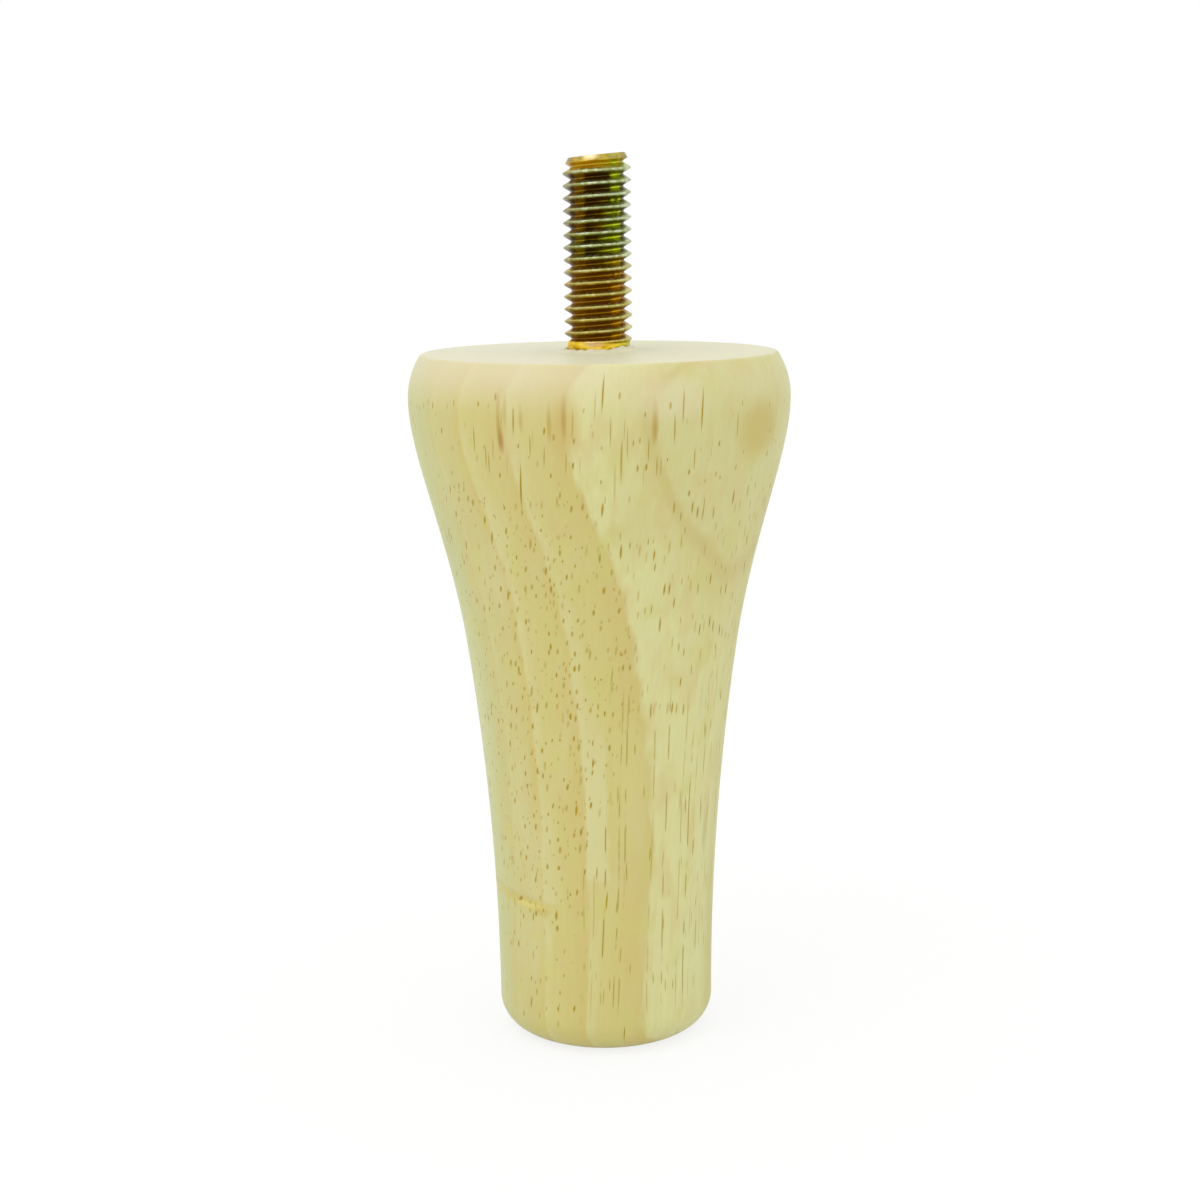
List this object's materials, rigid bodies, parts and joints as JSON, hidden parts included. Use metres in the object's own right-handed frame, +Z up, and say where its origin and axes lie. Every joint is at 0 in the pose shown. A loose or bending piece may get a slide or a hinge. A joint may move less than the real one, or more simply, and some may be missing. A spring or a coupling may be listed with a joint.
{
  "type": "tapered wooden furniture leg",
  "caption": "Short turned wooden leg that tapers from a rounded shoulder to a rounded foot, with a hanger bolt standing out of its flat top to screw it under a sofa, cabinet or bed.",
  "frame": {"origin": "centre of the foot's flat, on the floor", "axes": "+Z up the turning axis, from the foot towards the stud; the part is round, so X and Y are free"},
  "size_m": [0.045, 0.045, 0.1054],
  "materials": {
    "bare_wood": "sanded pale hardwood without stain, with short brown pores along the grain",
    "yellow_zinc_steel": "zinc plated with a yellow passivation, worn bright on the thread crests"
  },
  "bodies": {
    "root": {"turned_leg": "bare_wood", "hanger_bolt": "yellow_zinc_steel"}
  },
  "joints": []
}
